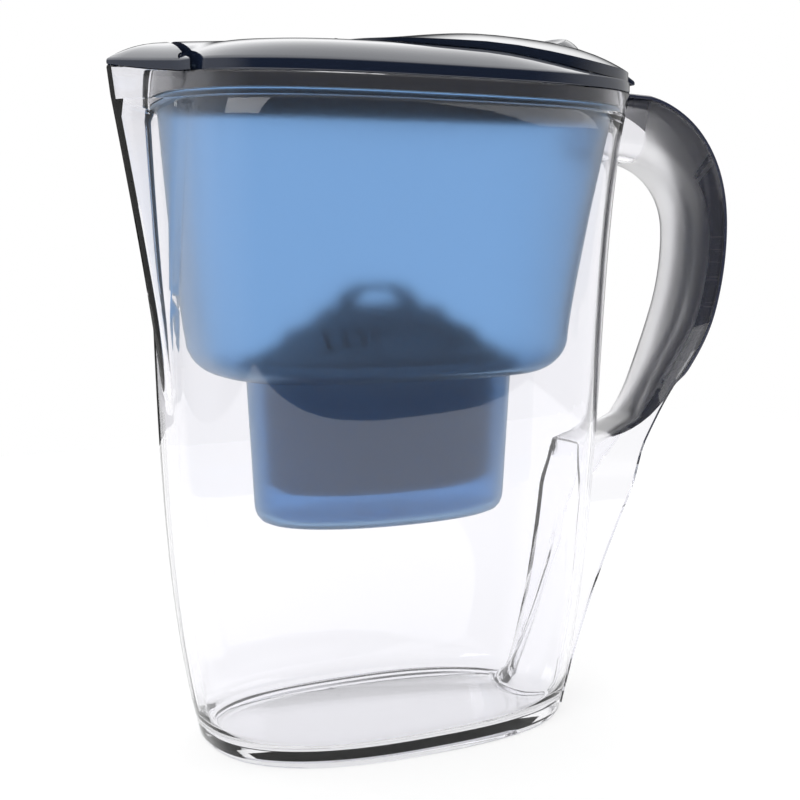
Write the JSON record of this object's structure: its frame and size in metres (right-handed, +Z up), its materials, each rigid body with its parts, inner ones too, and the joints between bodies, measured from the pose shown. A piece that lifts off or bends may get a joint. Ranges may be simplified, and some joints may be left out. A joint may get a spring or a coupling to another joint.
{
  "type": "water filter pitcher",
  "caption": "Clear narrow pitcher with a lift-out filter hopper, cartridge, and a lid with a flip cover and a hinged spout flap.",
  "frame": {"origin": "on the table plane under the middle of the overall length and width", "axes": "+Z up, +X from the spout towards the handle, +Y across the narrow way"},
  "size_m": [0.2662, 0.1038, 0.2695],
  "materials": {
    "clear_jug": "clear polished plastic",
    "navy_grip": "satin",
    "blue_hopper": "frosted translucent",
    "navy_lid": "gloss",
    "navy_flip": "gloss",
    "navy_dial": "gloss",
    "white_cartridge": "matt",
    "grey_seal": "matt",
    "screen": "woven mesh",
    "granules": "granular"
  },
  "bodies": {
    "jug": {"jug_body": "clear_jug", "handle_grip": "navy_grip"},
    "hopper": {"hopper": "blue_hopper"},
    "lid": {"lid_frame": "navy_lid"},
    "flip": {"flip_lid": "navy_flip"},
    "flap": {"spout_flap": "navy_lid"},
    "dial": {"reminder_dial": "navy_dial"},
    "cartridge": {"cartridge_shell": "white_cartridge", "cartridge_cap": "white_cartridge", "cartridge_gasket": "grey_seal", "upper_screen": "screen", "granule_bed": "granules", "lower_screen": "screen"}
  },
  "joints": [
    {"name": "hopper_lift", "type": "slide", "parent": "jug", "child": "hopper", "axis": [0, 0, 1], "range_m": [0, 0.17]},
    {"name": "lid_lift", "type": "slide", "parent": "hopper", "child": "lid", "axis": [0, 0, 1], "range_m": [0, 0.04]},
    {"name": "flip_hinge", "type": "hinge", "parent": "lid", "child": "flip", "pos_m": [-0.0562, 0, 0.2582], "axis": [0, -1, 0], "range_deg": [0, 95]},
    {"name": "flap_hinge", "type": "hinge", "parent": "lid", "child": "flap", "pos_m": [-0.1112, 0, 0.2505], "axis": [0, 1, 0], "range_deg": [0, 20]},
    {"name": "dial_turn", "type": "hinge", "parent": "flip", "child": "dial", "pos_m": [0.0481, 0, 0.2646], "axis": [0.1908, 0, 0.9816], "continuous": true},
    {"name": "cartridge_lift", "type": "slide", "parent": "hopper", "child": "cartridge", "axis": [0, 0, 1], "range_m": [0, 0.055]}
  ]
}
